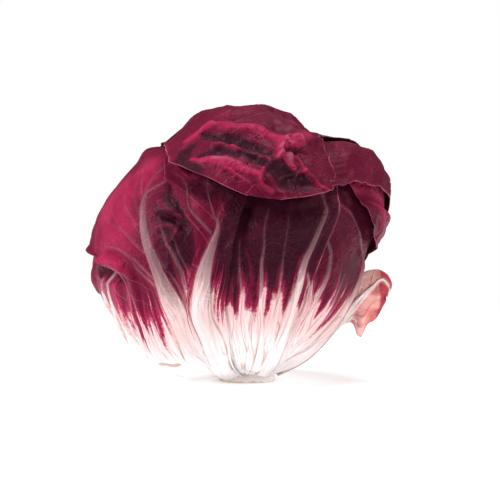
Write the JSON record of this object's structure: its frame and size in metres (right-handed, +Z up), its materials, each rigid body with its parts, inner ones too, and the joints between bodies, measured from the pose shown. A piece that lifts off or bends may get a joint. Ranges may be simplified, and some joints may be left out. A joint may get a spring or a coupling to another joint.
{
  "type": "radicchio head",
  "caption": "Round head of radicchio, a red chicory with white ribs and wine-red leaves, resting on its cut stem, with one torn outer leaf curling off the side",
  "frame": {"origin": "middle of the stem's cut face, which rests on the surface", "axes": "+Z up out of the stem through the head; -Y the front, where the wavy white rib and the overhanging cap leaf show; +X the right, where the torn leaf curls away"},
  "size_m": [0.1365, 0.121, 0.119],
  "materials": {
    "leaf_burgundy": "satin",
    "leaf_rose": "satin",
    "leaf_pale": "satin",
    "stem_white": "matte"
  },
  "bodies": {
    "root": {"curled_leaf": "leaf_rose", "back_outer_leaf": "leaf_burgundy", "back_left_leaf": "leaf_burgundy", "cap_leaf": "leaf_burgundy", "hood_leaf": "leaf_burgundy", "right_shoulder_leaf": "leaf_burgundy", "wavy_rib_leaf": "leaf_burgundy", "left_face_leaf": "leaf_burgundy", "front_leaf": "leaf_burgundy", "lower_left_leaf": "leaf_burgundy", "right_flank_leaf": "leaf_burgundy", "left_back_leaf": "leaf_burgundy", "back_leaf": "leaf_burgundy", "right_back_leaf": "leaf_burgundy", "inner_leaf_01": "leaf_pale", "inner_leaf_02": "leaf_pale", "inner_leaf_03": "leaf_pale", "inner_leaf_04": "leaf_pale", "inner_leaf_05": "leaf_pale", "inner_leaf_06": "leaf_pale", "inner_leaf_07": "leaf_pale", "inner_leaf_08": "leaf_pale", "inner_leaf_09": "leaf_pale", "heart_bud": "leaf_pale", "stem": "stem_white"}
  },
  "joints": []
}
